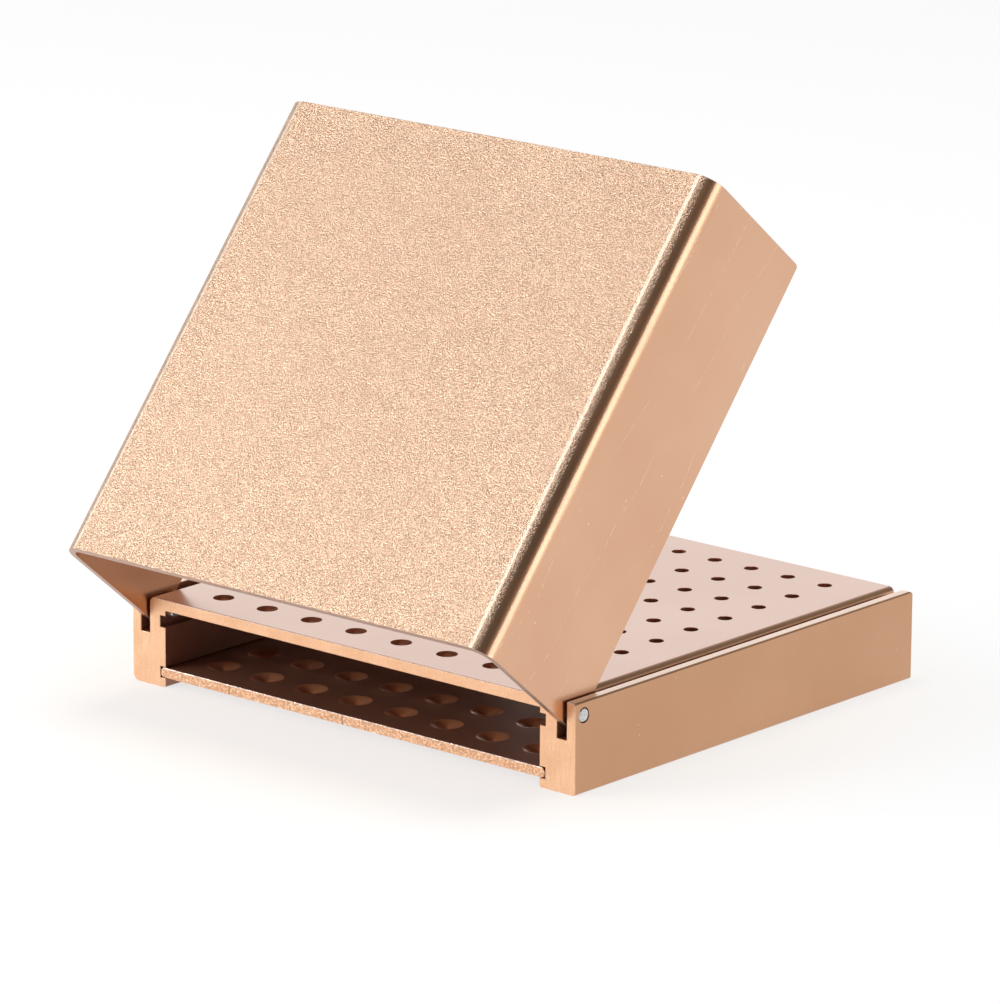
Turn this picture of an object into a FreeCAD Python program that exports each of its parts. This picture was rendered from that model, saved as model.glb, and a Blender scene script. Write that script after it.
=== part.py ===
"""A bur holder box: a slotted aluminium base with a drilled top plate, a tray that
slides in grooves under it, and a folded lid that swings on two steel pins.

All sizes are millimetres. X runs across the box, Y from the hinge end to the far end,
and Z up. The pieces are drawn with y = 0 at the base's hinge end, and are moved at the
end so that the origin is on the table under the middle of the box that holds them all.
"""
import FreeCAD, Part
import math
import os

from FreeCAD import Vector

# Base: one length of extrusion, cut square at both ends
base_width = 68.5
base_depth = 62.0
base_height = 10.8
outer_wall = 1.3
slot_width = 1.45
slot_depth = 4.5
inner_wall = 2.5
plate_thickness = 1.4
plate_edge_round = 0.9
wall_top_round = 0.3
wall_end_round = 0.6
left_foot_round = 0.9
right_foot_round = 0.3
lip_round = 0.3

# Grooves along both sides of the channel: the lower pair holds the tray
lip_height = 1.1
groove_depth = 0.85
upper_groove_below_plate = 0.65

# Tray
tray_thickness = 1.2
tray_play = 0.1
tray_edge_round = 0.5

# Bur shanks and the holes that take them
shank_clearance = 0.05
contra_angle_shank = 2.35
turbine_shank = 1.6

# Two rows of contra-angle holes at the hinge end
contra_columns = 8
contra_rows = 2
contra_pitch = 7.0
contra_first_row = 5.3
contra_dimple = 4.0

# Seven rows of turbine holes behind them, drilled a little to the left of the middle
turbine_columns = 10
turbine_rows = 7
turbine_pitch_across = 5.6
turbine_pitch_along = 6.3
turbine_last_row_from_end = 5.0
turbine_rows_off_middle = -0.3
turbine_dimple = 2.9

# Dimples in the tray, below every hole, all made with the same drill point
drill_point_angle = 140.0
dimple_sides = 12

# Hinge pins, pressed into the inner walls of the slots and loose in the outer walls
pin_diameter = 1.6
pin_from_end = 1.47
pin_below_top = 1.6
pin_chamfer = 0.1
pin_shows_inside = 0.4
pin_running_gap = 0.05
pin_outer_wall_gap = 0.1

# Lid: sheet folded into three sides, measured from the pins when closed
lid_sheet = 0.9
lid_side_gap = 0.25
lid_bend_radius = 2.8
lid_ahead_of_pin = 1.7
lid_length = 61.1
lid_below_pin = 1.8
lid_above_pin = 18.4
lid_corner_round = 0.5
lid_open_angle = 50.3

# Worked out from the sizes above
half_width = base_width / 2
slot_outer = half_width - outer_wall
slot_inner = slot_outer - slot_width
channel_half = slot_inner - inner_wall
groove_half = channel_half + groove_depth
slot_floor = base_height - slot_depth
pin_height = base_height - pin_below_top
ceiling = base_height - plate_thickness
groove_height = tray_thickness + 2 * tray_play
lower_groove_top = lip_height + groove_height
upper_groove_top = ceiling - upper_groove_below_plate
upper_groove_floor = upper_groove_top - groove_height
tray_floor = lip_height + tray_play
tray_top = tray_floor + tray_thickness
tray_half = groove_half - tray_play
contra_hole = contra_angle_shank + 2 * shank_clearance
turbine_hole = turbine_shank + 2 * shank_clearance
pin_inner_end = channel_half - pin_shows_inside
lid_inner_half = slot_inner + lid_side_gap
lid_outer_half = lid_inner_half + lid_sheet
lid_top = pin_height + lid_above_pin
lid_bottom = pin_height - lid_below_pin
lid_front = pin_from_end - lid_ahead_of_pin
lid_back = lid_front + lid_length
open_turn = math.radians(lid_open_angle)
lid_reach = lid_ahead_of_pin * math.cos(open_turn) + lid_above_pin * math.sin(open_turn)
front_reach = pin_from_end - lid_reach
middle_y = (front_reach + base_depth) / 2
pin_axis_point = Vector(0, pin_from_end, pin_height)
across = Vector(1, 0, 0)
along = Vector(0, 1, 0)


def rounded_outline(corners):
    """A closed wire through corners given as (point, radius), each corner rounded by its radius."""
    edges = []
    points = [Vector(*point) for point, _ in corners]
    count = len(points)
    starts = []
    ends = []
    for i, (_, radius) in enumerate(corners):
        here = points[i]
        back = (points[i - 1] - here).normalize()
        ahead = (points[(i + 1) % count] - here).normalize()
        half_angle = back.getAngle(ahead) / 2
        run = radius / math.tan(half_angle)
        starts.append(here + back * run)
        ends.append(here + ahead * run)
        if radius > 0:
            inward = (back + ahead).normalize()
            middle = here + inward * (radius / math.sin(half_angle) - radius)
            edges.append(Part.Arc(starts[i], middle, ends[i]).toShape())
        if i > 0:
            edges.append(Part.LineSegment(ends[i - 1], starts[i]).toShape())
    edges.append(Part.LineSegment(ends[-1], starts[0]).toShape())
    return Part.Wire(Part.__sortEdges__(edges))


def across_section(corners):
    """An outline in the plane across the box, from corners given as (x, z, radius)."""
    return rounded_outline([((x, 0, z), radius) for x, z, radius in corners])


def side_section(corners):
    """An outline in the plane along the box, from corners given as (y, z, radius)."""
    return rounded_outline([((0, y, z), radius) for y, z, radius in corners])


def both_sides(shape):
    """A shape on the right of the box, and its mirror image on the left."""
    return [shape, shape.mirror(Vector(0, 0, 0), across)]


def contra_centres():
    """Where the contra-angle holes are, as (x, y)."""
    centres = []
    for row in range(contra_rows):
        for column in range(contra_columns):
            x = (column - (contra_columns - 1) / 2) * contra_pitch
            centres.append((x, contra_first_row + row * contra_pitch))
    return centres


def turbine_centres():
    """Where the turbine holes are, as (x, y)."""
    centres = []
    for row in range(turbine_rows):
        y = base_depth - turbine_last_row_from_end - row * turbine_pitch_along
        for column in range(turbine_columns):
            x = (column - (turbine_columns - 1) / 2) * turbine_pitch_across
            centres.append((x + turbine_rows_off_middle, y))
    return centres


def base_profile():
    """The base seen from the hinge end: walls, lid slots, top plate, channel and grooves."""
    right = [
        (slot_inner, base_height, plate_edge_round),
        (slot_inner, slot_floor, 0),
        (slot_outer, slot_floor, 0),
        (slot_outer, base_height, wall_top_round),
        (half_width, base_height, wall_top_round),
        (half_width, 0, right_foot_round),
        (channel_half, 0, lip_round),
        (channel_half, lip_height, 0),
        (groove_half, lip_height, 0),
        (groove_half, lower_groove_top, 0),
        (channel_half, lower_groove_top, 0),
        (channel_half, upper_groove_floor, 0),
        (groove_half, upper_groove_floor, 0),
        (groove_half, upper_groove_top, 0),
        (channel_half, upper_groove_top, 0),
        (channel_half, ceiling, 0),
    ]
    left = []
    for x, z, radius in reversed(right):
        is_foot = x == half_width and z == 0
        left.append((-x, z, left_foot_round if is_foot else radius))
    return across_section(right + left)


def wall_end_trim():
    """What is cut off the far top corner of the right outer wall to round it."""
    room = wall_end_round * 2
    y_start = base_depth - wall_end_round
    z_start = base_height - wall_end_round
    block = Part.makeBox(
        outer_wall, room, room, Vector(slot_outer, y_start, z_start)
    )
    kept = Part.makeCylinder(
        wall_end_round, outer_wall, Vector(slot_outer, y_start, z_start), across
    )
    return block.cut(kept)


def pin_hole():
    """The hole for the right hinge pin: tight in the inner wall, wider in the outer wall."""
    tight = Part.makeCylinder(
        pin_diameter / 2,
        slot_inner - pin_inner_end,
        Vector(pin_inner_end, pin_from_end, pin_height),
        across,
    )
    wide = Part.makeCylinder(
        pin_diameter / 2 + pin_outer_wall_gap,
        outer_wall,
        Vector(slot_outer, pin_from_end, pin_height),
        across,
    )
    return Part.makeCompound([tight, wide])


def base():
    """The extrusion, with its walls trimmed, its pin holes drilled and its top plate drilled."""
    body = Part.Face(base_profile()).extrude(along * base_depth)
    cuts = both_sides(wall_end_trim()) + both_sides(pin_hole())
    for x, y in contra_centres():
        cuts.append(Part.makeCylinder(contra_hole / 2, plate_thickness, Vector(x, y, ceiling)))
    for x, y in turbine_centres():
        cuts.append(Part.makeCylinder(turbine_hole / 2, plate_thickness, Vector(x, y, ceiling)))
    return body.cut(Part.makeCompound(cuts))


def dimple(x, y, diameter):
    """The hollow that a drill point leaves under one hole, as a shallow point with flat sides."""
    rim = []
    for i in range(dimple_sides + 1):
        angle = 2 * math.pi * i / dimple_sides
        rim.append(Vector(x + diameter / 2 * math.cos(angle), y + diameter / 2 * math.sin(angle), tray_top))
    depth = diameter / 2 / math.tan(math.radians(drill_point_angle / 2))
    tip = Part.Vertex(Vector(x, y, tray_top - depth))
    return Part.makeLoft([Part.makePolygon(rim), tip], True, True)


def tray():
    """A plate with rounded long edges, dimpled under every hole of the base."""
    profile = across_section([
        (tray_half, tray_top, tray_edge_round),
        (tray_half, tray_floor, tray_edge_round),
        (-tray_half, tray_floor, tray_edge_round),
        (-tray_half, tray_top, tray_edge_round),
    ])
    plate = Part.Face(profile).extrude(along * base_depth)
    dimples = [dimple(x, y, contra_dimple) for x, y in contra_centres()]
    dimples += [dimple(x, y, turbine_dimple) for x, y in turbine_centres()]
    return plate.cut(Part.makeCompound(dimples))


def folded_sheet():
    """The lid's sheet when closed: a top and two sides with round bends, open at both ends."""
    inner_radius = lid_bend_radius - lid_sheet
    profile = across_section([
        (lid_outer_half, lid_bottom, 0),
        (lid_outer_half, lid_top, lid_bend_radius),
        (-lid_outer_half, lid_top, lid_bend_radius),
        (-lid_outer_half, lid_bottom, 0),
        (-lid_inner_half, lid_bottom, 0),
        (-lid_inner_half, lid_top - lid_sheet, inner_radius),
        (lid_inner_half, lid_top - lid_sheet, inner_radius),
        (lid_inner_half, lid_bottom, 0),
    ])
    profile.translate(along * lid_front)
    return Part.Face(profile).extrude(along * lid_length)


def lid_side_outline():
    """The closed lid seen from the side, with its lower corners rounded, as a block."""
    profile = side_section([
        (lid_front, lid_bottom, lid_corner_round),
        (lid_front, lid_top, 0),
        (lid_back, lid_top, 0),
        (lid_back, lid_bottom, lid_corner_round),
    ])
    profile.translate(across * -half_width)
    return Part.Face(profile).extrude(across * base_width)


def lid():
    sheet = folded_sheet().common(lid_side_outline())
    bore = Part.makeCylinder(
        pin_diameter / 2 + pin_running_gap,
        base_width,
        pin_axis_point - across * half_width,
        across,
    )
    piece = sheet.cut(bore)
    piece.rotate(pin_axis_point, across, lid_open_angle)
    return piece


def right_pin():
    """A plain steel pin, flush with the outside of the wall, with a small chamfer at each end."""
    radius = pin_diameter / 2
    length = half_width - pin_inner_end
    start = Vector(pin_inner_end, pin_from_end, pin_height)
    shaft = Part.makeCylinder(radius, length, start, across)
    rims = [edge for edge in shaft.Edges if edge.Closed]
    return shaft.makeChamfer(pin_chamfer, rims)


def pieces():
    """Every piece by its name, moved so that the origin is under the middle of them all."""
    pin_right, pin_left = both_sides(right_pin())
    named = {
        "base": base(),
        "tray": tray(),
        "lid": lid(),
        "hinge_pin_left": pin_left,
        "hinge_pin_right": pin_right,
    }
    for shape in named.values():
        shape.translate(along * -middle_y)
    return named


def main():
    os.makedirs("parts", exist_ok=True)
    for name, shape in pieces().items():
        shape.exportStep(f"parts/{name}.step")
        print(name, "solids:", len(shape.Solids), "valid:", shape.isValid())


if __name__ == "__main__":
    main()
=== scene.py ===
import math

import bmesh
import bpy
from mathutils import Matrix, Vector


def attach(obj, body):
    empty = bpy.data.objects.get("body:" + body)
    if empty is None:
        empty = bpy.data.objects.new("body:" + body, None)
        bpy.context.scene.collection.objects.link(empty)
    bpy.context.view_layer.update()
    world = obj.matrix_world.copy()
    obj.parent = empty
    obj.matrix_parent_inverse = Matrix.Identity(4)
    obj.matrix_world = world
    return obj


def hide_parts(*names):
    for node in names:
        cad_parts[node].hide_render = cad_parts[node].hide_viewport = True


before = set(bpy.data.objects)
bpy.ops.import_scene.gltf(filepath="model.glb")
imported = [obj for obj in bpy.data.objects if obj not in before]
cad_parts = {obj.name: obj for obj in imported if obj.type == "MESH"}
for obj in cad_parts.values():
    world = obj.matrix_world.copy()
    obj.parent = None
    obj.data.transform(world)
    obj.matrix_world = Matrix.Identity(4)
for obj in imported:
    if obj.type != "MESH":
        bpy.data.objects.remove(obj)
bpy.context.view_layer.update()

# Sizes are in millimetres, in the part's own frame, and go into Blender's metres here
MM = 0.001

# Base: one length of extrusion
base_width = 68.5
base_depth = 62.0
base_height = 10.8
outer_wall = 1.3
slot_width = 1.45
slot_depth = 4.5
inner_wall = 2.5
plate_thickness = 1.4
plate_edge_round = 0.8
wall_top_round = 0.32
wall_top_round_inside = 0.08
wall_end_round = 0.6
left_foot_round = 0.9
right_foot_round = 0.3
lip_round = 0.3
lip_height = 1.1
groove_depth = 0.85
upper_groove_below_plate = 0.65
sawn_edge = 0.06

# Tray
tray_thickness = 1.2
tray_play = 0.1
tray_edge_round = 0.5
tray_nicks = (-18.7, -0.9)

# Holes and the dimples below them
contra_hole = 2.45
contra_columns = 8
contra_rows = 2
contra_pitch = 7.0
contra_first_row = 5.3
contra_dimple = 4.0
turbine_hole = 1.7
turbine_columns = 10
turbine_rows = 7
turbine_pitch_across = 5.6
turbine_pitch_along = 6.3
turbine_last_row_from_end = 5.0
turbine_rows_off_middle = -0.3
turbine_dimple = 2.9
drill_point_angle = 140.0
drill_pit = 0.42
drill_pit_angle = 96.0
hole_edge = 0.05
dimple_edge = 0.12

# Hinge pins
pin_diameter = 1.6
pin_from_end = 1.47
pin_height = 9.2
pin_chamfer = 0.1
pin_shows_inside = 0.4
pin_running_gap = 0.05
pin_outer_wall_gap = 0.1

# The turned centre in a pin's outer end, as radii and depths
pin_centre_rim = 0.24
pin_centre_rim_depth = 0.02
pin_centre_floor = 0.096
pin_centre_depth = 0.06

# Lid, closed, measured from the pins
lid_sheet = 0.9
lid_side_gap = 0.25
lid_bend_start = 3.0
lid_bend_power = 2.1
lid_bend_inside = 1.9
lid_ahead_of_pin = 1.7
lid_length = 61.1
lid_below_pin = 1.8
lid_above_pin = 18.4
lid_corner_round = 0.5
lid_cut_edge = 0.06
lid_open_angle = math.radians(50.3)

# Worked out from the sizes above
half_width = base_width / 2
slot_outer = half_width - outer_wall
slot_inner = slot_outer - slot_width
channel_half = slot_inner - inner_wall
groove_half = channel_half + groove_depth
slot_floor = base_height - slot_depth
ceiling = base_height - plate_thickness
groove_height = tray_thickness + 2 * tray_play
lower_groove_top = lip_height + groove_height
upper_groove_top = ceiling - upper_groove_below_plate
upper_groove_floor = upper_groove_top - groove_height
tray_floor = lip_height + tray_play
tray_top = tray_floor + tray_thickness
tray_half = groove_half - tray_play
pin_inner_end = channel_half - pin_shows_inside
lid_inner_half = slot_inner + lid_side_gap
lid_outer_half = lid_inner_half + lid_sheet
lid_top = pin_height + lid_above_pin
lid_bottom = pin_height - lid_below_pin
lid_front = pin_from_end - lid_ahead_of_pin
lid_back = lid_front + lid_length
lid_reach = lid_ahead_of_pin * math.cos(lid_open_angle) + lid_above_pin * math.sin(lid_open_angle)
middle_y = (pin_from_end - lid_reach + base_depth) / 2

# How finely curves are drawn
corner_steps = 8
bend_steps = 32
hole_steps = 48
pin_steps = 64
sharp_angle = math.radians(32)
# A face is flat where one part of its normal is at least this
flat_enough = 0.99999
# How far a shape that cuts reaches past what it cuts
beyond = 1.0


def rounded(corners, steps=corner_steps):
    """The points of a closed outline through corners given as (x, z, radius)."""
    points = []
    count = len(corners)
    for i, (x, z, radius) in enumerate(corners):
        here = Vector((x, z))
        if radius == 0:
            points.append(here)
            continue
        back = (Vector(corners[i - 1][:2]) - here).normalized()
        ahead = (Vector(corners[(i + 1) % count][:2]) - here).normalized()
        half_angle = back.angle(ahead) / 2
        centre = here + (back + ahead).normalized() * (radius / math.sin(half_angle))
        first = here + back * (radius / math.tan(half_angle)) - centre
        turn = first.angle_signed(here + ahead * (radius / math.tan(half_angle)) - centre)
        for step in range(steps + 1):
            points.append(centre + Matrix.Rotation(-turn * step / steps, 2) @ first)
    return points


def inset(points, amount):
    """The same outline, moved inwards by an amount on every side."""
    count = len(points)
    area = sum(points[i - 1].cross(points[i]) for i in range(count))
    side = 1 if area > 0 else -1
    moved = []
    for i in range(count):
        into = (points[i] - points[i - 1]).normalized()
        out_of = (points[(i + 1) % count] - points[i]).normalized()
        normal_in = Vector((-into.y, into.x)) * side
        normal_out = Vector((-out_of.y, out_of.x)) * side
        mitre = (normal_in + normal_out) / (1 + normal_in.dot(normal_out))
        moved.append(points[i] + mitre * amount)
    return moved


def new_piece(name, bm):
    """An object from a mesh in the making, with its faces turned outwards."""
    bmesh.ops.recalc_face_normals(bm, faces=bm.faces)
    mesh = bpy.data.meshes.new(name)
    bm.to_mesh(mesh)
    bm.free()
    piece = bpy.data.objects.new(name, mesh)
    bpy.context.scene.collection.objects.link(piece)
    return piece


def crisp(piece):
    """Flat shading on flat faces, smooth shading on curved ones, sharp across edges."""
    piece.data.set_sharp_from_angle(angle=sharp_angle)
    for face in piece.data.polygons:
        face.use_smooth = max(abs(part) for part in face.normal) < flat_enough


def add_ring(bm, points, y):
    return [bm.verts.new((p.x * MM, (y - middle_y) * MM, p.y * MM)) for p in points]


def join_rings(bm, first, second):
    count = len(first)
    for i in range(count):
        j = (i + 1) % count
        bm.faces.new((first[i], first[j], second[j], second[i]))


def extruded(name, points, start, end, edge):
    """An outline drawn out along the box, with a small bevel round each sawn end."""
    bm = bmesh.new()
    small = inset(points, edge)
    rings = [
        add_ring(bm, small, start),
        add_ring(bm, points, start + edge),
        add_ring(bm, points, end - edge),
        add_ring(bm, small, end),
    ]
    for first, second in zip(rings, rings[1:]):
        join_rings(bm, first, second)
    bm.faces.new(rings[0])
    bm.faces.new(reversed(rings[-1]))
    return new_piece(name, bm)


def add_turned(bm, profile, place, steps=hole_steps):
    """A turned shape: profile is (radius, height) pairs, and the first and last have no radius."""
    rings = []
    for radius, height in profile:
        if radius == 0:
            rings.append([bm.verts.new(place @ Vector((0, 0, height)) * MM)])
            continue
        ring = []
        for step in range(steps):
            angle = 2 * math.pi * step / steps
            spot = place @ Vector((radius * math.cos(angle), radius * math.sin(angle), height))
            ring.append(bm.verts.new(spot * MM))
        rings.append(ring)
    for first, second in zip(rings, rings[1:]):
        for i in range(steps):
            j = (i + 1) % steps
            corners = [first[i % len(first)], first[j % len(first)],
                       second[j % len(second)], second[i % len(second)]]
            bm.faces.new(list(dict.fromkeys(corners)))


def carve(piece, bm):
    """Cuts the shapes in bm out of a piece."""
    cutter = new_piece("cutter", bm)
    step = piece.modifiers.new("carve", "BOOLEAN")
    step.operation = "DIFFERENCE"
    step.solver = "EXACT"
    step.object = cutter
    bpy.context.view_layer.update()
    seen = piece.evaluated_get(bpy.context.evaluated_depsgraph_get())
    mesh = bpy.data.meshes.new_from_object(seen)
    piece.modifiers.clear()
    piece.data = mesh
    bpy.data.objects.remove(cutter)


def at(x, y, z):
    return Matrix.Translation((x, y - middle_y, z))


def along_x(x, y, z, side=1):
    """Turns an upright turned shape to lie across the box, its top towards one side."""
    return at(x, y, z) @ Matrix.Rotation(side * math.pi / 2, 4, "Y")


def contra_centres():
    """Where the contra-angle holes are, as (x, y)."""
    centres = []
    for row in range(contra_rows):
        for column in range(contra_columns):
            x = (column - (contra_columns - 1) / 2) * contra_pitch
            centres.append((x, contra_first_row + row * contra_pitch))
    return centres


def turbine_centres():
    """Where the turbine holes are, as (x, y)."""
    centres = []
    for row in range(turbine_rows):
        y = base_depth - turbine_last_row_from_end - row * turbine_pitch_along
        for column in range(turbine_columns):
            x = (column - (turbine_columns - 1) / 2) * turbine_pitch_across
            centres.append((x + turbine_rows_off_middle, y))
    return centres


def base_outline():
    """The base seen from the hinge end: walls, lid slots, top plate, channel and grooves."""
    right = [
        (slot_inner, base_height, plate_edge_round),
        (slot_inner, slot_floor, 0),
        (slot_outer, slot_floor, 0),
        (slot_outer, base_height, wall_top_round_inside),
        (half_width, base_height, wall_top_round),
        (half_width, 0, right_foot_round),
        (channel_half, 0, lip_round),
        (channel_half, lip_height, 0),
        (groove_half, lip_height, 0),
        (groove_half, lower_groove_top, 0),
        (channel_half, lower_groove_top, 0),
        (channel_half, upper_groove_floor, 0),
        (groove_half, upper_groove_floor, 0),
        (groove_half, upper_groove_top, 0),
        (channel_half, upper_groove_top, 0),
        (channel_half, ceiling, 0),
    ]
    left = []
    for x, z, radius in reversed(right):
        is_foot = x == half_width and z == 0
        left.append((-x, z, left_foot_round if is_foot else radius))
    return rounded(right + left)


def hole_profile(diameter):
    """A hole through the top plate with its edges broken, above and below."""
    radius = diameter / 2
    return [
        (0, ceiling - beyond),
        (radius + hole_edge, ceiling - beyond),
        (radius + hole_edge, ceiling),
        (radius, ceiling + hole_edge),
        (radius, base_height - hole_edge),
        (radius + hole_edge, base_height),
        (radius + hole_edge, base_height + beyond),
        (0, base_height + beyond),
    ]


def add_corner_trim(bm, corner, away, radius, low_x, high_x):
    """Cuts a corner, seen from the side as (y, z), to a radius. away is the way that it points."""
    out, up = away
    middle = Vector((corner[0] - out * radius, corner[1] - up * radius))
    reach = radius + beyond
    loop = [middle + Vector(far) for far in ((out * reach, 0), (out * reach, up * reach), (0, up * reach))]
    for step in range(corner_steps + 1):
        angle = math.pi / 2 * (1 - step / corner_steps)
        loop.append(middle + Vector((out * math.cos(angle), up * math.sin(angle))) * radius)
    rings = []
    for x in (low_x, high_x):
        rings.append([bm.verts.new((x * MM, (p.x - middle_y) * MM, p.y * MM)) for p in loop])
    join_rings(bm, *rings)
    bm.faces.new(rings[0])
    bm.faces.new(reversed(rings[1]))


def pin_bore_profile():
    """The hole for a pin, from inside out: tight in the inner wall and wide in the outer one."""
    tight = pin_diameter / 2
    wide = tight + pin_outer_wall_gap
    length = half_width - pin_inner_end
    into_wall = slot_outer - slot_width / 2 - pin_inner_end
    return [
        (0, 0),
        (tight, 0),
        (tight, into_wall),
        (wide, into_wall),
        (wide, length - hole_edge),
        (wide + hole_edge, length),
        (wide + hole_edge, length + beyond),
        (0, length + beyond),
    ]


def make_base():
    """The extrusion, drilled and trimmed."""
    piece = extruded("base_body", base_outline(), 0, base_depth, sawn_edge)
    cuts = bmesh.new()
    for diameter, centres in ((contra_hole, contra_centres()), (turbine_hole, turbine_centres())):
        for x, y in centres:
            add_turned(cuts, hole_profile(diameter), at(x, y, 0))
    far_top = (base_depth, base_height)
    for side in (-1, 1):
        from_x = side * (slot_outer - slot_width / 2)
        to_x = side * (half_width + beyond)
        add_corner_trim(cuts, far_top, (1, 1), wall_end_round, from_x, to_x)
        lying = along_x(side * pin_inner_end, pin_from_end, pin_height, side)
        add_turned(cuts, pin_bore_profile(), lying)
    carve(piece, cuts)
    crisp(piece)
    return piece


def dimple_profile(diameter):
    """The hollow left by a drill point: a small steep pit, a slope and a softened rim."""
    slope = math.tan(math.radians(drill_point_angle / 2))
    pit_slope = math.tan(math.radians(drill_pit_angle / 2))
    rim = diameter / 2 - dimple_edge
    pit_top = tray_top - (rim - drill_pit) / slope
    points = [(0, pit_top - drill_pit / pit_slope), (drill_pit, pit_top)]
    for step in range(corner_steps):
        share = step / corner_steps
        out = rim - dimple_edge + 2 * dimple_edge * share
        drop = dimple_edge * (1 - share) * (1 - share) / slope
        points.append((out, tray_top - drop))
    points.append((rim + dimple_edge, tray_top))
    points.append((rim + dimple_edge, tray_top + beyond))
    points.append((0, tray_top + beyond))
    return points


def make_tray():
    """A plate with rounded long edges, dimpled under every hole of the base."""
    points = rounded([
        (tray_half, tray_top, tray_edge_round),
        (tray_half, tray_floor, tray_edge_round),
        (-tray_half, tray_floor, tray_edge_round),
        (-tray_half, tray_top, tray_edge_round),
    ])
    piece = extruded("tray_plate", points, 0, base_depth, sawn_edge)
    cuts = bmesh.new()
    for diameter, centres in ((contra_dimple, contra_centres()), (turbine_dimple, turbine_centres())):
        for x, y in centres:
            add_turned(cuts, dimple_profile(diameter), at(x, y, 0))
    carve(piece, cuts)
    crisp(piece)
    return piece


def bend(side):
    """The outside of one bend of the lid, as a curve that starts and ends gently."""
    corner = Vector((side * lid_outer_half, lid_top))
    centre = corner - Vector((side * lid_bend_start, lid_bend_start))
    points = []
    for step in range(bend_steps + 1):
        angle = math.pi / 2 * step / bend_steps
        across = math.sin(angle) ** (2 / lid_bend_power)
        upward = math.cos(angle) ** (2 / lid_bend_power)
        points.append(centre + Vector((side * across, upward)) * lid_bend_start)
    return points


def make_lid():
    """One folded sheet, built closed round the pins, in its own frame, and then swung open."""
    inside = rounded([
        (-lid_inner_half, lid_bottom, 0),
        (-lid_inner_half, lid_top - lid_sheet, lid_bend_inside),
        (lid_inner_half, lid_top - lid_sheet, lid_bend_inside),
        (lid_inner_half, lid_bottom, 0),
    ])
    outside = [Vector((lid_outer_half, lid_bottom))] + list(reversed(bend(1)))
    outside += bend(-1) + [Vector((-lid_outer_half, lid_bottom))]
    piece = extruded("lid_sheet", outside + inside, lid_front, lid_back, lid_cut_edge)
    cuts = bmesh.new()
    through = 2 * (half_width + beyond)
    bore = pin_diameter / 2 + pin_running_gap
    profile = [(0, 0), (bore, 0), (bore, through), (0, through)]
    add_turned(cuts, profile, along_x(-through / 2, pin_from_end, pin_height))
    for end, away in ((lid_front, -1), (lid_back, 1)):
        corner = (end, lid_bottom)
        add_corner_trim(cuts, corner, (away, -1), lid_corner_round, -through / 2, through / 2)
    carve(piece, cuts)
    crisp(piece)
    hinge = Vector((0, pin_from_end - middle_y, pin_height)) * MM
    for vert in piece.data.vertices:
        vert.co -= hinge
    piece.matrix_world = Matrix.Translation(hinge) @ Matrix.Rotation(lid_open_angle, 4, "X")
    return piece


def make_pin(name, side):
    """A steel pin with a small bevel at each end and a shallow turned centre at its outer end."""
    radius = pin_diameter / 2
    length = half_width - pin_inner_end
    profile = [
        (0, 0),
        (radius - pin_chamfer, 0),
        (radius, pin_chamfer),
        (radius, length - pin_chamfer),
        (radius - pin_chamfer, length),
        (pin_centre_rim, length - pin_centre_rim_depth),
        (pin_centre_floor, length - pin_centre_depth),
        (0, length - pin_centre_depth),
    ]
    bm = bmesh.new()
    lying = along_x(side * pin_inner_end, pin_from_end, pin_height, side)
    add_turned(bm, profile, lying, pin_steps)
    piece = new_piece(name, bm)
    crisp(piece)
    return piece


# Helpers for materials

def plug(tree, socket, value):
    """Sets a socket, or links it where the value is another node's output."""
    if isinstance(value, bpy.types.NodeSocket):
        tree.links.new(value, socket)
    else:
        socket.default_value = value


def node(tree, kind, inputs, **settings):
    made = tree.nodes.new(kind)
    for name, value in settings.items():
        setattr(made, name, value)
    for key, value in inputs.items():
        plug(tree, made.inputs[key], value)
    return made


def maths(tree, operation, first, second=0.0, third=0.0):
    return node(tree, "ShaderNodeMath", {0: first, 1: second, 2: third}, operation=operation).outputs[0]


def times(tree, first, second):
    return maths(tree, "MULTIPLY", first, second)


def one_less(tree, value):
    """What is left of 1 when the value is taken away."""
    return maths(tree, "SUBTRACT", 1.0, value)


def distance_from(tree, value, place):
    return maths(tree, "ABSOLUTE", maths(tree, "SUBTRACT", value, place))


def stretch(tree, vector, scale):
    """A vector with each of its parts multiplied."""
    made = node(tree, "ShaderNodeVectorMath", {0: vector, 1: scale}, operation="MULTIPLY")
    return made.outputs["Vector"]


def along(tree, vector, axis):
    """How far a vector reaches along an axis."""
    made = node(tree, "ShaderNodeVectorMath", {0: vector, 1: axis}, operation="DOT_PRODUCT")
    return made.outputs["Value"]


def length_of(tree, vector):
    return node(tree, "ShaderNodeVectorMath", {0: vector}, operation="LENGTH").outputs["Value"]


def parts_of(tree, vector):
    return node(tree, "ShaderNodeSeparateXYZ", {"Vector": vector}).outputs


def noise(tree, vector, scale, detail=2.0, rough=0.5):
    inputs = {"Vector": vector, "Scale": scale, "Detail": detail, "Roughness": rough}
    return node(tree, "ShaderNodeTexNoise", inputs).outputs["Fac"]


def fade(tree, value, low, high, start=0.0, end=1.0):
    """Takes low..high of a value smoothly to start..end."""
    inputs = {"Value": value, "From Min": low, "From Max": high, "To Min": start, "To Max": end}
    return node(tree, "ShaderNodeMapRange", inputs, interpolation_type="SMOOTHSTEP").outputs["Result"]


def mix_colour(tree, share, first, second):
    return node(tree, "ShaderNodeMix", {0: share, 6: first, 7: second}, data_type="RGBA").outputs[2]


def mix_value(tree, share, first, second):
    return node(tree, "ShaderNodeMix", {0: share, 2: first, 3: second}, data_type="FLOAT").outputs[0]


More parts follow.
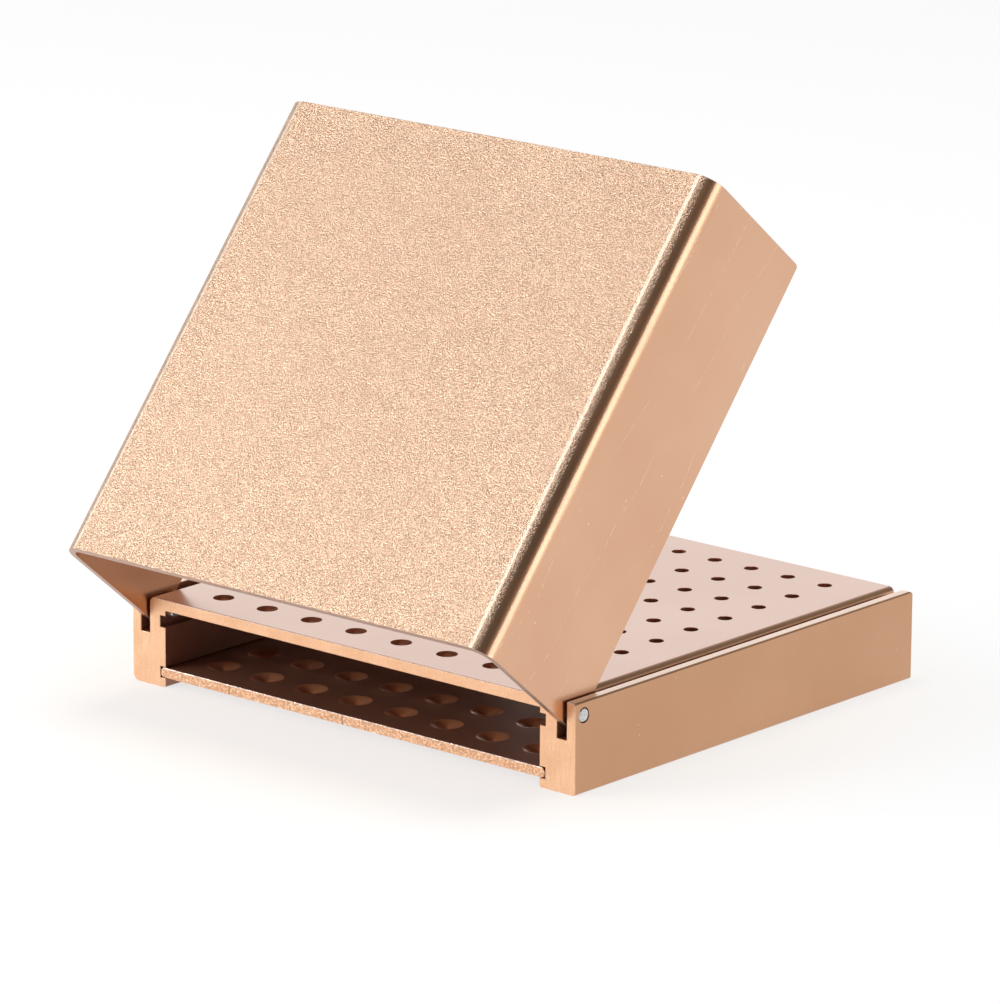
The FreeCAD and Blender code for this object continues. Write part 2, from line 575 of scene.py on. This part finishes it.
def scattered_cells(tree, vector, scale, share, channel):
    """Splits space into cells: a mask of a share of them, and the distance from each one's middle."""
    cells = node(tree, "ShaderNodeTexVoronoi", {"Vector": vector, "Scale": scale}).outputs
    picked = node(tree, "ShaderNodeSeparateColor", {"Color": cells["Color"]}).outputs[channel]
    chosen = maths(tree, "GREATER_THAN", picked, one_less(tree, share))
    return chosen, cells["Distance"]


def new_group(name, inputs, outputs):
    """An empty node group with named sockets, given as (name, kind, value) and (name, kind)."""
    group = bpy.data.node_groups.new(name, "ShaderNodeTree")
    for label, kind, value in inputs:
        socket = group.interface.new_socket(label, in_out="INPUT", socket_type=kind)
        if value is not None:
            socket.default_value = value
    for label, kind in outputs:
        group.interface.new_socket(label, in_out="OUTPUT", socket_type=kind)
    entry = group.nodes.new("NodeGroupInput").outputs
    leave = group.nodes.new("NodeGroupOutput").inputs
    return group, entry, leave


def place_group(tree, group, inputs):
    made = tree.nodes.new("ShaderNodeGroup")
    made.node_tree = group
    for label, value in inputs.items():
        plug(tree, made.inputs[label], value)
    return made.outputs


# Effects that several finishes share. A pair of values is what fade() starts and ends at.

NUMBER = "NodeSocketFloat"
VECTOR = "NodeSocketVector"
COLOUR = "NodeSocketColor"


def blasted_grain_group():
    """The fine pebbled skin that bead blasting leaves, and a mask of small facets where glints are painted
    into the colour.
    """
    turn_axis = (1.0, 0.6, 0.3)
    turn_angle = 0.9
    facet_edge_to_core = (0.55, 0.2)
    facet_height = 0.35
    pebble_shades = (0.35, 0.65)
    group, entry, leave = new_group(
        "blasted_grain",
        [("Vector", VECTOR, None), ("Size", NUMBER, 0.3), ("Glints", NUMBER, 0.1)],
        [("Height", NUMBER), ("Glint", NUMBER), ("Shade", NUMBER)],
    )
    scale = maths(group, "DIVIDE", 1.0, entry["Size"])
    inputs = {"Vector": entry["Vector"], "Axis": turn_axis, "Angle": turn_angle}
    turned = node(group, "ShaderNodeVectorRotate", inputs).outputs["Vector"]
    pebbles = noise(group, turned, scale, detail=1.0)
    chosen, distance = scattered_cells(group, turned, scale, entry["Glints"], "Red")
    core = fade(group, distance, *facet_edge_to_core)
    plug(group, leave["Height"], maths(group, "MULTIPLY_ADD", core, facet_height, pebbles))
    plug(group, leave["Glint"], times(group, chosen, core))
    plug(group, leave["Shade"], fade(group, pebbles, *pebble_shades))
    return group


def tool_lines_group():
    """Fine parallel lines left by a saw, a mill or the extrusion die, unevenly strong."""
    patch_limits = (0.35, 0.65)
    weakest = 0.35
    middle = 0.5
    group, entry, leave = new_group(
        "tool_lines",
        [("Vector", VECTOR, None), ("Stretch", VECTOR, (1.0, 1.0, 1.0)), ("Patches", NUMBER, 0.2)],
        [("Height", NUMBER), ("Tone", NUMBER)],
    )
    drawn = stretch(group, entry["Vector"], entry["Stretch"])
    lines = noise(group, drawn, 1.0, detail=4.0, rough=0.7)
    patches = fade(group, noise(group, entry["Vector"], entry["Patches"]), *patch_limits, weakest)
    level = maths(group, "SUBTRACT", lines, middle)
    plug(group, leave["Height"], times(group, level, patches))
    plug(group, leave["Tone"], maths(group, "MULTIPLY_ADD", level, patches, middle))
    return group


def specks_group():
    """Scattered dots, such as pores in the finish, specks and tiny dents."""
    group, entry, leave = new_group(
        "specks",
        [("Vector", VECTOR, None), ("Spacing", NUMBER, 1.0), ("Share", NUMBER, 0.1),
         ("Width", NUMBER, 0.2)],
        [("Mask", NUMBER)],
    )
    scale = maths(group, "DIVIDE", 1.0, entry["Spacing"])
    chosen, distance = scattered_cells(group, entry["Vector"], scale, entry["Share"], "Green")
    plug(group, leave["Mask"], times(group, chosen, fade(group, distance, entry["Width"], 0.0)))
    return group


def anodised_group():
    """The dyed skin of anodised metal: one colour that drifts a little towards a deeper one."""
    cloud_limits = (0.3, 0.7)
    group, entry, leave = new_group(
        "anodised_colour",
        [("Vector", VECTOR, None), ("Colour", COLOUR, (0.7, 0.45, 0.3, 1.0)),
         ("Deep Colour", COLOUR, (0.6, 0.35, 0.22, 1.0)), ("Cloud Size", NUMBER, 12.0)],
        [("Colour", COLOUR), ("Drift", NUMBER)],
    )
    scale = maths(group, "DIVIDE", 1.0, entry["Cloud Size"])
    cloudy = noise(group, entry["Vector"], scale, detail=4.0, rough=0.6)
    clouds = fade(group, cloudy, *cloud_limits)
    plug(group, leave["Colour"], mix_colour(group, clouds, entry["Colour"], entry["Deep Colour"]))
    plug(group, leave["Drift"], clouds)
    return group


def scratches_group():
    """A few straight hairline scratches along the box that break up into dots."""
    slant = (0.0, 0.12, 1.0)
    wander_scale = 0.07
    wander_reach = 5.0
    gap_scale = 1.7
    gap_limits = (0.45, 0.58)
    patch_scale = 0.06
    patch_limits = (0.42, 0.5)
    group, entry, leave = new_group(
        "scratches",
        [("Vector", VECTOR, None), ("Width", NUMBER, 0.05), ("Apart", NUMBER, 3.1)],
        [("Mask", NUMBER)],
    )
    place = entry["Vector"]
    bent = noise(group, place, wander_scale, detail=1.0)
    wander = maths(group, "MULTIPLY_ADD", bent, wander_reach, along(group, place, slant))
    line = fade(group, maths(group, "PINGPONG", wander, entry["Apart"]), entry["Width"], 0.0)
    gaps = fade(group, noise(group, place, gap_scale, detail=1.0), *gap_limits)
    patches = fade(group, noise(group, place, patch_scale, detail=1.0), *patch_limits)
    plug(group, leave["Mask"], times(group, line, times(group, gaps, patches)))
    return group


GRAIN = blasted_grain_group()
LINES = tool_lines_group()
SPECKS = specks_group()
SCRATCHES = scratches_group()
ANODISED = anodised_group()

# Linear colours of each dyed finish: its usual colour, and the deeper one that it drifts to. Some are
# darker or paler copies that hold painted shade or sheen.
LID_SIDE_DYE = ((0.745, 0.45, 0.295, 1.0), (0.70, 0.405, 0.255, 1.0))
LID_TOP_DYE = ((0.74, 0.53, 0.385, 1.0), (0.69, 0.485, 0.35, 1.0))
# painted shade: a darker copy of the lid's anodised colour, for its inside
LID_INSIDE_PAINTED_SHADE = ((0.59, 0.315, 0.18, 1.0), (0.54, 0.275, 0.15, 1.0))
# painted shade: a darker, greyer copy of the lid's colour, for its cut ends
LID_CUT_PAINTED_SHADE = ((0.56, 0.37, 0.28, 1.0), (0.46, 0.29, 0.21, 1.0))
WALL_DYE = ((0.60, 0.335, 0.19, 1.0), (0.56, 0.30, 0.165, 1.0))
# painted sheen: a near-white copy of the wall's anodised colour, for the walls' top faces
WALL_TOP_PAINTED_SHEEN = ((1.0, 0.78, 0.64, 1.0), (0.95, 0.72, 0.58, 1.0))
PLATE_DYE = ((0.71, 0.435, 0.325, 1.0), (0.69, 0.415, 0.305, 1.0))
SAWN_DYE = ((0.98, 0.64, 0.42, 1.0), (0.86, 0.50, 0.29, 1.0))
# painted shade: a darker copy of the anodised colour, for the channel, slots and tray top
CHANNEL_PAINTED_SHADE = ((0.35, 0.15, 0.09, 1.0), (0.34, 0.16, 0.10, 1.0))
# painted shade: a darker copy of the anodised colour, for the walls of the holes
BORE_PAINTED_SHADE = ((0.52, 0.22, 0.115, 1.0), (0.42, 0.17, 0.09, 1.0))
DIMPLE_DYE = ((0.80, 0.37, 0.19, 1.0), (0.68, 0.29, 0.14, 1.0))

# Linear colours of marks, painted glints and highlights, painted bounce light on the floor, bare metal and
# the studio
BLASTED_SHADE = (0.46, 0.285, 0.185, 1.0)
SAWN_SHADE = (0.52, 0.27, 0.15, 1.0)
# painted glint colour: laid into the base colour where glints and highlights stand in for reflected light
PAINTED_GLINT = (1.0, 0.84, 0.68, 1.0)
# painted highlight colour for the top edge of sawn ends
PAINTED_EDGE_HIGHLIGHT = (1.0, 0.93, 0.86, 1.0)
NICK = (0.20, 0.09, 0.05, 1.0)
DUST = (0.95, 0.82, 0.70, 1.0)
DULL_STEEL = (0.46, 0.45, 0.45, 1.0)
BRIGHT_STEEL = (0.78, 0.77, 0.76, 1.0)
PAPER = (0.9, 0.9, 0.9, 1.0)
# painted bounce light: warm tint of the paper near the box
PAINTED_BOUNCE_PAPER = (0.95, 0.76, 0.58, 1.0)
WHITE = (1.0, 1.0, 1.0, 1.0)

# How lines are drawn out on each surface: a large number makes them fine in that direction
LINES_ALONG_LID = (9.0, 0.12, 9.0)
LINES_ALONG_WALL = (0.5, 0.12, 7.0)
LINES_ALONG_BOX = (5.0, 0.1, 5.0)
LINES_ROUND_BORE = (0.5, 0.5, 9.0)
LINES_ALL_WAYS = (5.0, 5.0, 5.0)
LINES_UPRIGHT = (6.5, 0.5, 0.3)

wide_cloud = 30.0
sawn_cloud = 5.0
skin_ior = 1.6


def new_metal(name, coat=0.0, coat_rough=0.0, metal=1.0):
    """A metal with a clear skin. Gives it, its tree, its shader and the place in millimetres."""
    material = bpy.data.materials.new(name)
    material.use_nodes = True
    tree = material.node_tree
    shader = tree.nodes["Principled BSDF"]
    shader.inputs["Metallic"].default_value = metal
    shader.inputs["Coat Weight"].default_value = coat
    shader.inputs["Coat Roughness"].default_value = coat_rough
    shader.inputs["Coat IOR"].default_value = skin_ior
    place = tree.nodes.new("ShaderNodeTexCoord").outputs["Object"]
    grid = stretch(tree, place, (1 / MM, 1 / MM, 1 / MM))
    return material, tree, shader, grid


def bump(tree, shader, height, distance, strength=1.0):
    inputs = {"Height": height, "Distance": distance * MM, "Strength": strength}
    made = node(tree, "ShaderNodeBump", inputs)
    plug(tree, shader.inputs["Normal"], made.outputs["Normal"])


def dyed(tree, grid, dye, cloud_size):
    """The anodised colour of a surface, and how far it has drifted to the deeper one."""
    usual, deep = dye
    inputs = {"Vector": grid, "Colour": usual, "Deep Colour": deep, "Cloud Size": cloud_size}
    return place_group(tree, ANODISED, inputs)


def lid_outside_material():
    """Coarse blasted top that turns smooth and satin round the bends and down the sides."""
    blasted_limits = (0.35, 0.85)
    flat_limits = (0.97, 0.9995)
    side_rough = 0.26
    bend_rough = 0.31
    top_rough = 0.39
    line_relief = 0.12
    bend_grain_relief = 0.3
    material, tree, shader, grid = new_metal("lid_outside", coat=0.06, coat_rough=0.3)
    facing_up = parts_of(tree, tree.nodes.new("ShaderNodeTexCoord").outputs["Normal"])["Z"]
    blasted = fade(tree, facing_up, *blasted_limits)
    flat = fade(tree, facing_up, *flat_limits)
    grain = place_group(tree, GRAIN, {"Vector": grid, "Size": 0.17, "Glints": 0.03})
    lines = place_group(tree, LINES, {"Vector": grid, "Stretch": LINES_ALONG_LID, "Patches": 0.15})
    colour = lid_colour(tree, grid, blasted, grain)
    marked = mix_colour(tree, lid_marks(tree, grid, blasted), colour, DUST)
    # painted highlight: a pale band where each bend starts
    highlighted = mix_colour(tree, painted_bend_highlight(tree, facing_up), marked, PAINTED_GLINT)
    plug(tree, shader.inputs["Base Color"], highlighted)
    off_top_rough = mix_value(tree, blasted, side_rough, bend_rough)
    plug(tree, shader.inputs["Roughness"], mix_value(tree, flat, off_top_rough, top_rough))
    smooth_height = times(tree, lines["Height"], line_relief)
    grain_height = times(tree, grain["Height"], mix_value(tree, flat, bend_grain_relief, 1.0))
    bump(tree, shader, mix_value(tree, blasted, smooth_height, grain_height), distance=0.11)
    return material


def lid_colour(tree, grid, blasted, grain):
    """The dye, with the blasted skin's darker hollows and painted pale glints where it is blasted."""
    glint_strength = 0.8
    smooth_dye = dyed(tree, grid, LID_SIDE_DYE, wide_cloud)
    blasted_dye = dyed(tree, grid, LID_TOP_DYE, wide_cloud)
    colour = mix_colour(tree, blasted, smooth_dye["Colour"], blasted_dye["Colour"])
    shaded = mix_colour(tree, times(tree, grain["Shade"], blasted), colour, BLASTED_SHADE)
    # painted glints: the pale colour laid on the blasted facets
    glint = times(tree, times(tree, grain["Glint"], blasted), glint_strength)
    return mix_colour(tree, glint, shaded, PAINTED_GLINT)


def lid_marks(tree, grid, blasted):
    """Specks everywhere, and hairline scratches on the smooth sides."""
    scratch_strength = 0.7
    mark_strength = 0.8
    specks = place_group(tree, SPECKS, {"Vector": grid, "Spacing": 1.8, "Share": 0.35, "Width": 0.085})
    scratches = place_group(tree, SCRATCHES, {"Vector": grid})
    on_sides = times(tree, one_less(tree, blasted), scratch_strength)
    marks = maths(tree, "MAXIMUM", specks["Mask"], times(tree, scratches["Mask"], on_sides))
    return times(tree, marks, mark_strength)


def painted_bend_highlight(tree, facing_up):
    """A painted highlight: the narrow pale stretch where each bend starts, told by how steep the surface
    is there.
    """
    starts = (0.991, 0.982)
    ends = (0.95, 0.96)
    highlight_strength = 0.6
    highlight_band = times(tree, fade(tree, facing_up, *starts), fade(tree, facing_up, *ends))
    return times(tree, highlight_band, highlight_strength)


def satin_material(name, dye, rough, lines_drawn, relief, specks, coat=0.25, metal=1.0):
    """Smooth anodised metal with faint lines along one direction and a few specks."""
    tone_limits = (0.3, 0.7)
    tone_strength = 0.3
    speck_strength = 0.6
    rough_drift = 0.06
    material, tree, shader, grid = new_metal(name, coat, coat_rough=0.25, metal=metal)
    lines = place_group(tree, LINES, {"Vector": grid, "Stretch": lines_drawn, "Patches": 0.12})
    dots = place_group(tree, SPECKS, {"Vector": grid, "Spacing": 1.6, "Share": specks, "Width": 0.09})
    skin = dyed(tree, grid, dye, wide_cloud)
    tone = fade(tree, lines["Tone"], *tone_limits, 0.0, tone_strength)
    toned = mix_colour(tree, tone, skin["Colour"], dye[1])
    dotted = mix_colour(tree, times(tree, dots["Mask"], speck_strength), toned, DUST)
    plug(tree, shader.inputs["Base Color"], dotted)
    plug(tree, shader.inputs["Roughness"], fade(tree, skin["Drift"], 0.0, 1.0, rough, rough + rough_drift))
    bump(tree, shader, lines["Height"], relief)
    return material


def add_painted_edge_highlight(tree, grid, height, colour):
    """A painted highlight: a bright broken line along the upper edge of a sawn end."""
    line_limits = (0.16, 0.04)
    gap_scale = 2.5
    gap_limits = (0.3, 0.6)
    weakest = 0.35
    line = fade(tree, distance_from(tree, parts_of(tree, grid)["Z"], height), *line_limits)
    broken = fade(tree, noise(tree, grid, gap_scale), *gap_limits, weakest)
    return mix_colour(tree, times(tree, line, broken), colour, PAINTED_EDGE_HIGHLIGHT)


def add_nick(tree, grid, place, colour):
    """A dark upright nick across a sawn end."""
    nick_limits = (0.12, 0.03)
    nick_strength = 0.8
    off_nick = distance_from(tree, parts_of(tree, grid)["X"], place)
    return mix_colour(tree, fade(tree, off_nick, *nick_limits, 0.0, nick_strength), colour, NICK)


def sawn_material(name, dye, rough, speckled, top=None, nicks=()):
    """A sawn end: upright lines, coarse specks with painted glints where it is rough, a painted bright
    highlight along the top edge and nicks.
    """
    tone_limits = (0.42, 0.58)
    material, tree, shader, grid = new_metal(name, coat=0.2, coat_rough=0.4)
    lines = place_group(tree, LINES, {"Vector": grid, "Stretch": LINES_UPRIGHT, "Patches": 0.3})
    grain = place_group(tree, GRAIN, {"Vector": grid, "Size": 0.27, "Glints": 0.25})
    skin = dyed(tree, grid, dye, sawn_cloud)
    colour = mix_colour(tree, fade(tree, lines["Tone"], *tone_limits), skin["Colour"], dye[1])
    colour = mix_colour(tree, times(tree, grain["Shade"], speckled), colour, SAWN_SHADE)
    # painted glints on the rough specks of the sawn end
    colour = mix_colour(tree, times(tree, grain["Glint"], speckled), colour, PAINTED_GLINT)
    # painted highlight along the upper edge of the sawn end
    if top is not None:
        colour = add_painted_edge_highlight(tree, grid, top, colour)
    for nick in nicks:
        colour = add_nick(tree, grid, nick, colour)
    plug(tree, shader.inputs["Base Color"], colour)
    shader.inputs["Roughness"].default_value = rough
    bump(tree, shader, mix_value(tree, speckled, lines["Height"], grain["Height"]), distance=0.05)
    return material


def steel_material():
    """Turned steel, with rings round the middle of the pin's end."""
    along_pin = 0.2
    wander_scale = 1.3
    ring_wander = 0.5
    ring_count = 24.0
    ring_strength = 0.15
    tone_limits = (0.25, 0.75)
    cloud_scale = 2.2
    cloud_limits = (0.2, 0.8)
    smoothest = 0.25
    roughest = 0.45
    material, tree, shader, grid = new_metal("pin_turned_steel")
    shift = (0.0, middle_y - pin_from_end, -pin_height)
    centred = node(tree, "ShaderNodeVectorMath", {0: grid, 1: shift}).outputs["Vector"]
    drawn = stretch(tree, centred, (along_pin, 1.0, 1.0))
    radius = length_of(tree, stretch(tree, centred, (0.0, 1.0, 1.0)))
    wander = maths(tree, "MULTIPLY_ADD", noise(tree, drawn, wander_scale), ring_wander, radius)
    rings = maths(tree, "SINE", times(tree, wander, ring_count))
    clouds = noise(tree, drawn, cloud_scale, detail=4.0, rough=0.7)
    shade = maths(tree, "MULTIPLY_ADD", rings, ring_strength, clouds)
    colour = mix_colour(tree, fade(tree, shade, *tone_limits), DULL_STEEL, BRIGHT_STEEL)
    plug(tree, shader.inputs["Base Color"], colour)
    plug(tree, shader.inputs["Roughness"], fade(tree, clouds, *cloud_limits, smoothest, roughest))
    bump(tree, shader, rings, distance=0.02, strength=0.6)
    return material


# Which face gets which finish

# A face looks along an axis when that part of its normal is above this
facing = 0.5
# A face whose normal points up by this much is a top face
nearly_level = 0.99
# Rounding that a face's middle may be off by, in millimetres
touching = 0.01


def paint(piece, materials, choose):
    """Gives each face the material that choose(middle, normal) names, in millimetres."""
    names = list(materials)
    for name in names:
        piece.data.materials.append(materials[name])
    for face in piece.data.polygons:
        face.material_index = names.index(choose(face.center / MM, face.normal))


def is_sawn_end(middle, normal):
    """True on the sawn ends of the base and the tray, with their small bevels."""
    from_middle = abs(middle.y + middle_y - base_depth / 2)
    at_end = abs(from_middle - base_depth / 2) < 2 * sawn_edge
    return at_end and abs(normal.y) > facing


def choose_base(middle, normal):
    """Sawn ends, the plate's top, the walls' top edges, the holes, the channel and the walls."""
    across = abs(middle.x)
    if is_sawn_end(middle, normal):
        return "end"
    if normal.z > nearly_level and middle.z > base_height - sawn_edge:
        return "plate" if across < slot_inner else "rim"
    in_plate = ceiling < middle.z < base_height - hole_edge and across < channel_half
    if in_plate and abs(normal.z) < facing:
        return "hole"
    on_inner_wall = across < slot_inner + slot_width / 2
    slot_top = base_height - (plate_edge_round if on_inner_wall else wall_top_round_inside)
    in_slot = slot_inner - touching < across < slot_outer + touching and middle.z < slot_top
    in_channel = across < groove_half + touching
    return "channel" if in_channel or in_slot else "side"


def choose_tray(middle, normal):
    """The sawn ends, the drilled dimples and the smooth faces."""
    if is_sawn_end(middle, normal):
        return "end"
    off_edges = middle.z > tray_floor and abs(middle.x) < tray_half - tray_edge_round
    return "dimple" if off_edges and normal.z < flat_enough else "face"


def choose_lid(middle, normal):
    """In the lid's own frame: cut edges, the inside, and the outside."""
    near_front = middle.y < lid_front - pin_from_end + 2 * lid_cut_edge
    near_back = middle.y > lid_back - pin_from_end - 2 * lid_cut_edge
    at_end = (near_front or near_back) and abs(normal.y) > facing
    at_bottom = middle.z < 0 and normal.z < -facing
    if at_end or at_bottom:
        return "edge"
    below_top = middle.z < lid_above_pin - lid_sheet / 2
    is_inside = below_top and abs(middle.x) < lid_outer_half - lid_sheet / 2
    return "inside" if is_inside else "outside"


def dress(piece, body, slot, *replaced):
    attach(piece, body)
    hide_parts(*replaced)


# The finishes. relief is how high the lines stand in millimetres, specks how many spots are used.

wall = satin_material("base_satin", WALL_DYE, 0.26, LINES_ALONG_WALL, relief=0.008, specks=0.2)
plate = satin_material("plate_satin", PLATE_DYE, 0.16, LINES_ALONG_BOX, relief=0.003, specks=0.06,
                       coat=0.8)
# paler colour here is painted sheen on the walls' top faces
wall_top = satin_material("wall_top_satin_painted_sheen", WALL_TOP_PAINTED_SHEEN, 0.3, LINES_ALONG_BOX, relief=0.003,
                          specks=0.06, coat=0.3)
# darker colour here is painted shade in the channel, the slots and on the tray's top
channel = satin_material("channel_satin_painted_shade", CHANNEL_PAINTED_SHADE, 0.32, LINES_ALONG_BOX, relief=0.006,
                         specks=0.12, coat=0.3, metal=0.6)
# darker colour here is painted shade inside the holes
bore = satin_material("bore_satin_painted_shade", BORE_PAINTED_SHADE, 0.3, LINES_ROUND_BORE, relief=0.01, specks=0.0,
                      coat=0.3, metal=0.6)
drilled = satin_material("drilled_dimple", DIMPLE_DYE, 0.3, LINES_ALL_WAYS, relief=0.01, specks=0.1,
                         coat=0.8, metal=0.55)
# darker colour here is painted shade on the lid's inside
inside = satin_material("lid_inside_painted_shade", LID_INSIDE_PAINTED_SHADE, 0.3, LINES_ALONG_BOX, relief=0.008,
                        specks=0.15, coat=0.3)
sawn = sawn_material("sawn_end", SAWN_DYE, 0.45, speckled=0.12, top=base_height)
coarse = sawn_material("tray_end", SAWN_DYE, 0.45, speckled=0.75, top=tray_top, nicks=tray_nicks)
# darker colour here is painted shade on the lid's cut ends
cut_edge = sawn_material("lid_cut_edge", LID_CUT_PAINTED_SHADE, 0.35, speckled=0.1)
outside = lid_outside_material()
steel = steel_material()

# The pieces

base = make_base()
base_finishes = {"side": wall, "end": sawn, "plate": plate, "channel": channel, "rim": wall_top,
                 "hole": bore}
paint(base, base_finishes, choose_base)
dress(base, "box", "base_aluminium", "base")

tray = make_tray()
# the tray's faces get the channel finish with its painted shade
paint(tray, {"face": channel, "end": coarse, "dimple": drilled}, choose_tray)
dress(tray, "tray", "tray_aluminium", "tray")

lid = make_lid()
paint(lid, {"outside": outside, "inside": inside, "edge": cut_edge}, choose_lid)
dress(lid, "lid", "lid_aluminium", "lid")

for side, label in ((-1, "left"), (1, "right")):
    pin = make_pin(f"pin_{label}", side)
    pin.data.materials.append(steel)
    dress(pin, "box", "pin_steel", f"hinge_pin_{label}")

# The studio: a pale floor, a white surround and soft lamps

camera_place = Vector((478.626, -553.841, 220.854)) * MM
camera_turn = math.radians(40.704)
camera_lift = math.radians(15.114)
camera_roll = math.radians(0.356)
camera_lens = 233.09
camera_sensor = 36.0

# What the lamps face, and how far away they are in metres
studio_middle = Vector((0, 0, 15)) * MM
lamp_distance = 0.9

# The floor: half its width, and how far out from the middle the box's warm bounce light is painted into
# its colour, in metres
floor_reach = 4.0
painted_bounce_reach = (0.065, 0.035)
floor_glow = 0.75
floor_glow_in_metal = 0.85

# The surround: a tall white wall to one side, and a low white band behind the box
backdrop_side = (-0.45, 0.893, 0.0)
backdrop_turns_white = (0.35, 0.85)
backdrop_top = (0.8, 0.35)
band_turns_white = (-0.2, 0.4)
band_top = (0.42, 0.28)
room_dim = 0.1


def make_camera():
    data = bpy.data.cameras.new("camera")
    data.lens = camera_lens
    data.sensor_fit = "HORIZONTAL"
    data.sensor_width = camera_sensor
    camera = bpy.data.objects.new("camera", data)
    turned = Matrix.Rotation(camera_turn, 4, "Z") @ Matrix.Rotation(math.pi / 2 - camera_lift, 4, "X")
    turned = turned @ Matrix.Rotation(camera_roll, 4, "Z")
    camera.matrix_world = Matrix.Translation(camera_place) @ turned
    bpy.context.scene.collection.objects.link(camera)
    bpy.context.scene.camera = camera


def soft_lamp(name, direction, width, height, brightness):
    """A rectangular lamp facing the box. Its brightness is that of its face, where 1 is white."""
    data = bpy.data.lights.new(name, "AREA")
    data.shape = "RECTANGLE"
    data.size = width
    data.size_y = height
    data.energy = brightness * math.pi * width * height
    lamp = bpy.data.objects.new(name, data)
    bpy.context.scene.collection.objects.link(lamp)
    away = Vector(direction).normalized()
    lamp.location = studio_middle + away * lamp_distance
    lamp.rotation_mode = "QUATERNION"
    lamp.rotation_quaternion = away.to_track_quat("Z", "Y")


def make_floor():
    """White paper whose own shading shows only in part, so that its shadows stay soft and pale. Near the
    box its colour holds painted bounce light.
    """
    bm = bmesh.new()
    corners = [(-1, -1), (1, -1), (1, 1), (-1, 1)]
    bm.faces.new([bm.verts.new((x * floor_reach, y * floor_reach, 0)) for x, y in corners])
    floor = new_piece("floor", bm)
    material = bpy.data.materials.new("floor_white")
    material.use_nodes = True
    tree = material.node_tree
    shader = tree.nodes["Principled BSDF"]
    away = length_of(tree, tree.nodes.new("ShaderNodeTexCoord").outputs["Object"])
    # painted bounce light: the paper turns warm near the box
    colour = mix_colour(tree, fade(tree, away, *painted_bounce_reach), PAPER, PAINTED_BOUNCE_PAPER)
    plug(tree, shader.inputs["Base Color"], colour)
    shader.inputs["Roughness"].default_value = 1.0
    shader.inputs["Specular IOR Level"].default_value = 0.0
    white = node(tree, "ShaderNodeEmission", {"Color": WHITE, "Strength": 1.0})
    path = tree.nodes.new("ShaderNodeLightPath").outputs
    straight = maths(tree, "MAXIMUM", path["Is Camera Ray"], path["Is Transmission Ray"])
    shown = times(tree, straight, floor_glow)
    share = maths(tree, "MULTIPLY_ADD", path["Is Glossy Ray"], floor_glow_in_metal, shown)
    mixed = node(tree, "ShaderNodeMixShader", {0: share, 1: shader.outputs[0], 2: white.outputs[0]})
    tree.links.new(mixed.outputs[0], tree.nodes["Material Output"].inputs["Surface"])
    floor.data.materials.append(material)


def make_world():
    """A room that is white behind the box and dim in front of it."""
    world = bpy.data.worlds.new("studio")
    world.use_nodes = True
    tree = world.node_tree
    direction = tree.nodes.new("ShaderNodeTexCoord").outputs["Generated"]
    parts = parts_of(tree, direction)
    backdrop = fade(tree, along(tree, direction, backdrop_side), *backdrop_turns_white)
    tall = times(tree, backdrop, fade(tree, parts["Z"], *backdrop_top))
    low = times(tree, fade(tree, parts["Y"], *band_turns_white), fade(tree, parts["Z"], *band_top))
    light = fade(tree, maths(tree, "MAXIMUM", tall, low), 0.0, 1.0, room_dim, 1.0)
    plug(tree, tree.nodes["Background"].inputs["Color"], light)
    tree.nodes["Background"].inputs["Strength"].default_value = 1.0
    bpy.context.scene.world = world


make_camera()
make_floor()
make_world()
soft_lamp("lamp_key", (-0.675, -0.567, 0.47), width=0.85, height=0.46, brightness=4.1)
soft_lamp("lamp_streak", (-0.21, -0.55, 0.81), width=0.36, height=0.3, brightness=3.2)
soft_lamp("lamp_low", (-0.63, -0.75, 0.22), width=0.5, height=0.3, brightness=5.0)
soft_lamp("lamp_right", (0.95, 0.13, 0.28), width=0.35, height=0.3, brightness=2.3)
soft_lamp("lamp_top", (0.0, 0.1, 1.0), width=0.55, height=0.55, brightness=6.0)

bpy.context.scene.view_settings.view_transform = "Standard"
